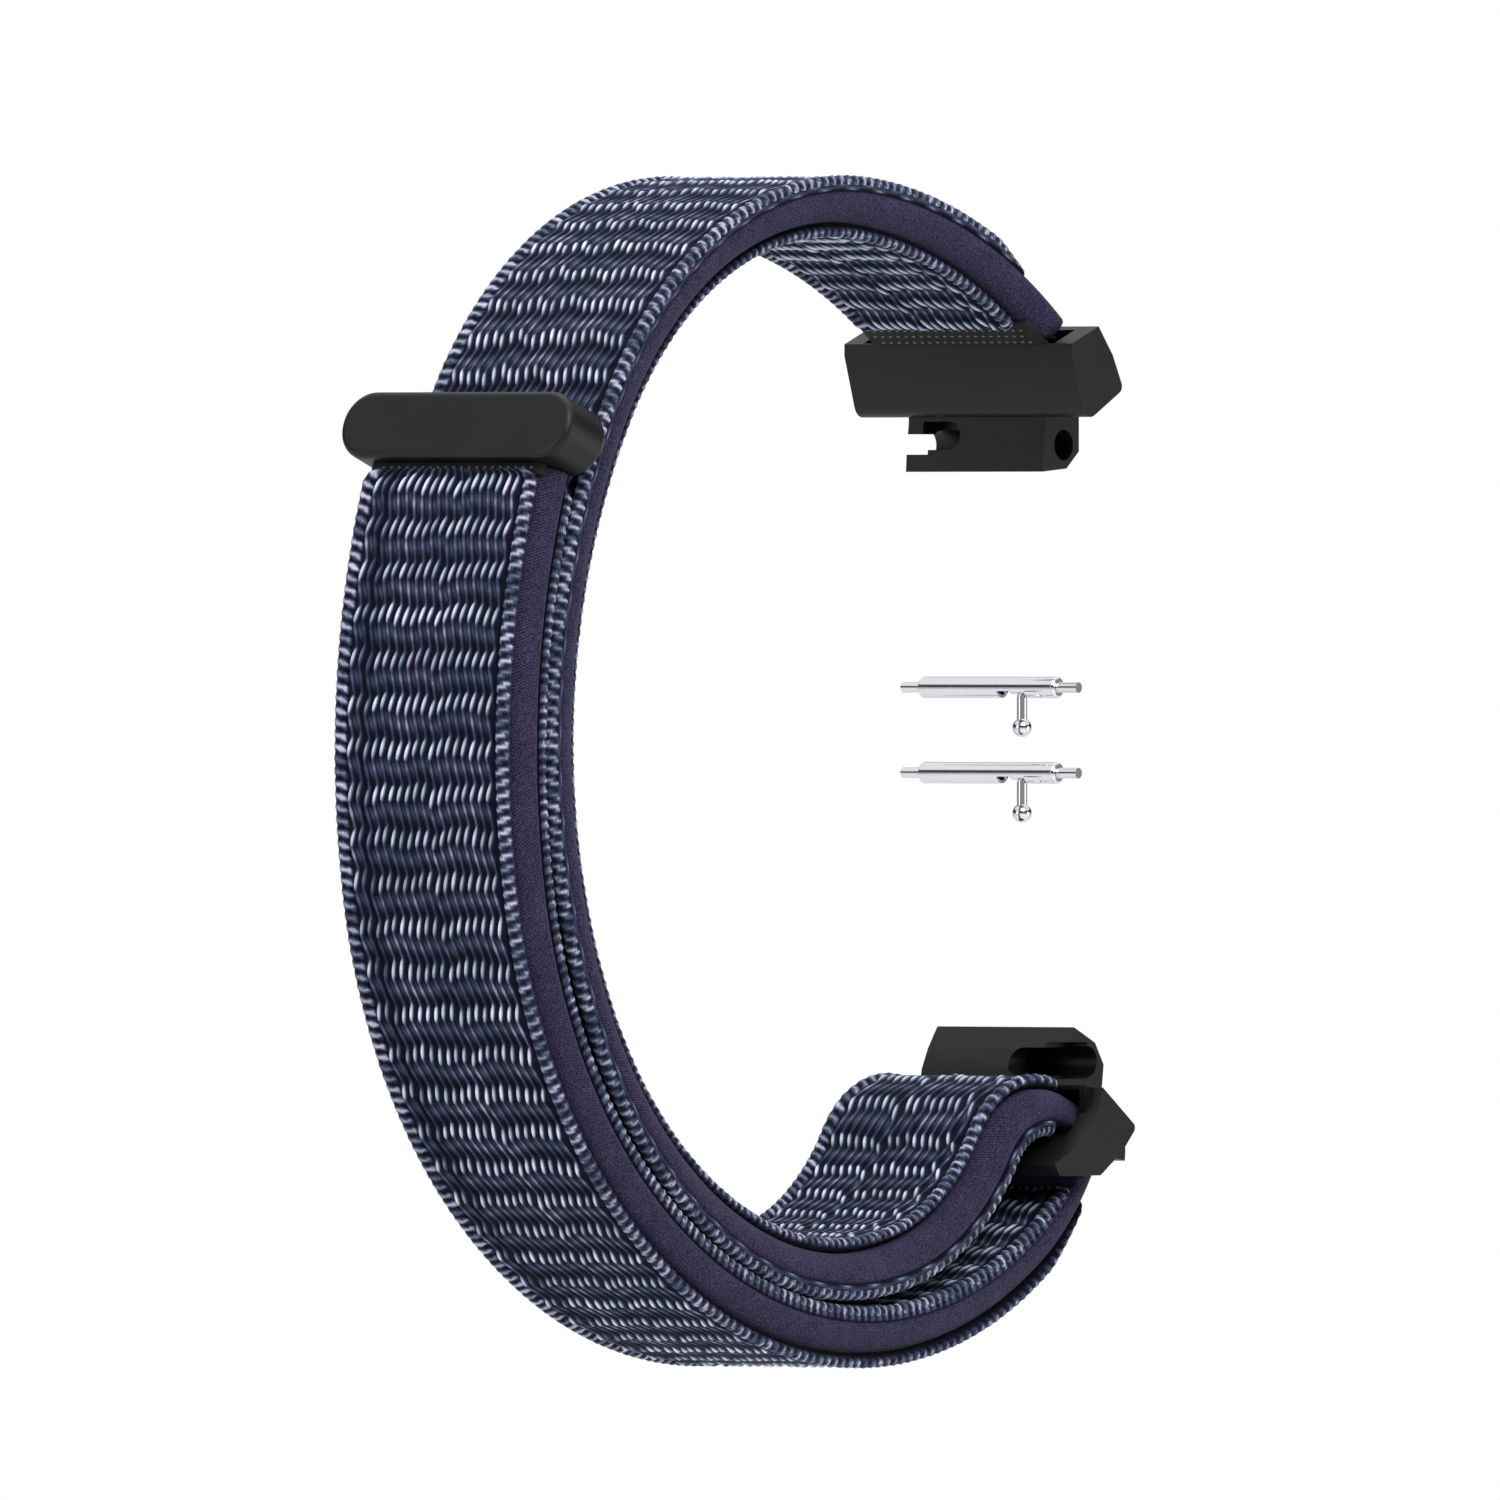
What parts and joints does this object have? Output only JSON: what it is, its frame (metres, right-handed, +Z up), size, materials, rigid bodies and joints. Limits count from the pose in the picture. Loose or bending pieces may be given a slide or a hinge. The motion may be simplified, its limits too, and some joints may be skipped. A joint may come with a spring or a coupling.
{
  "type": "fitness tracker band",
  "caption": "Woven sport band for a slim fitness tracker: layered strap that folds back through a frame, moulded lug connectors and quick-release spring bars.",
  "frame": {"origin": "middle of the wrist opening, on the band's centre plane", "axes": "+X towards the tracker gap, +Y across the band, +Z up towards the top connector"},
  "size_m": [0.0638, 0.0184, 0.0755],
  "materials": {
    "woven_face": "navy woven facing with raised pale slanted stitches",
    "knit_core": "matt knitted core in muted purple navy",
    "hook_face": "dark fine hook tape",
    "stitch_thread": "black sewing thread",
    "black_plastic": "satin black moulding",
    "pin_steel": "ground steel pin",
    "bar_chrome": "polished",
    "spring_steel": "drawn wire"
  },
  "bodies": {
    "band": {"strap_core": "knit_core", "wrist_facing": "woven_face", "loop_facing": "woven_face", "outer_run_inside_facing": "woven_face", "outer_run_outside_facing": "woven_face", "top_stitching": "stitch_thread", "flex_core": "knit_core", "flex_inside_facing": "woven_face", "flex_outside_facing": "woven_face"},
    "tail": {"tail_core": "knit_core", "tail_hook_facing": "hook_face", "tail_outside_facing": "woven_face", "tail_stitching": "stitch_thread", "tail_cap_front": "black_plastic", "tail_cap_back": "black_plastic", "tail_pin": "pin_steel"},
    "top_fitting": {"top_connector": "black_plastic", "top_pin": "pin_steel"},
    "bottom_fitting": {"bottom_connector": "black_plastic"},
    "upper_bar": {"upper_barrel": "bar_chrome", "upper_spring": "spring_steel"},
    "upper_lever": {"upper_lever_tip": "bar_chrome", "upper_knob": "bar_chrome"},
    "upper_plunger": {"upper_plain_tip": "bar_chrome"},
    "lower_bar": {"lower_barrel": "bar_chrome", "lower_spring": "spring_steel"},
    "lower_lever": {"lower_lever_tip": "bar_chrome", "lower_knob": "bar_chrome"},
    "lower_plunger": {"lower_plain_tip": "bar_chrome"}
  },
  "joints": [
    {"name": "tail_peel", "type": "hinge", "parent": "band", "child": "tail", "pos_m": [-0.02337, 0, -0.01853], "axis": [0, -1, 0], "range_deg": [0, 40], "deforming": ["flex_core", "flex_inside_facing", "flex_outside_facing"]},
    {"name": "top_connector_swing", "type": "hinge", "parent": "band", "child": "top_fitting", "pos_m": [0.0279, 0, 0.0252], "axis": [0, 1, 0], "range_deg": [-4, 3]},
    {"name": "bottom_connector_swing", "type": "hinge", "parent": "band", "child": "bottom_fitting", "pos_m": [0.02832, 0, -0.02439], "axis": [0, 1, 0], "range_deg": [-5, 5]},
    {"name": "upper_bar_slide", "type": "slide", "parent": "band", "child": "upper_bar", "axis": [0, 1, 0], "range_m": [0, 0.006]},
    {"name": "upper_lever_slide", "type": "slide", "parent": "upper_bar", "child": "upper_lever", "axis": [0, 1, 0], "range_m": [0, 0.0012], "stiffness_N_per_m": 20, "deforming": ["upper_spring"]},
    {"name": "upper_plunger_slide", "type": "slide", "parent": "upper_bar", "child": "upper_plunger", "axis": [0, -1, 0], "range_m": [0, 0.0012], "stiffness_N_per_m": 20, "deforming": ["upper_spring"]},
    {"name": "lower_bar_slide", "type": "slide", "parent": "band", "child": "lower_bar", "axis": [0, 1, 0], "range_m": [0, 0.006]},
    {"name": "lower_lever_slide", "type": "slide", "parent": "lower_bar", "child": "lower_lever", "axis": [0, 1, 0], "range_m": [0, 0.0012], "stiffness_N_per_m": 20, "deforming": ["lower_spring"]},
    {"name": "lower_plunger_slide", "type": "slide", "parent": "lower_bar", "child": "lower_plunger", "axis": [0, -1, 0], "range_m": [0, 0.0012], "stiffness_N_per_m": 20, "deforming": ["lower_spring"]}
  ]
}
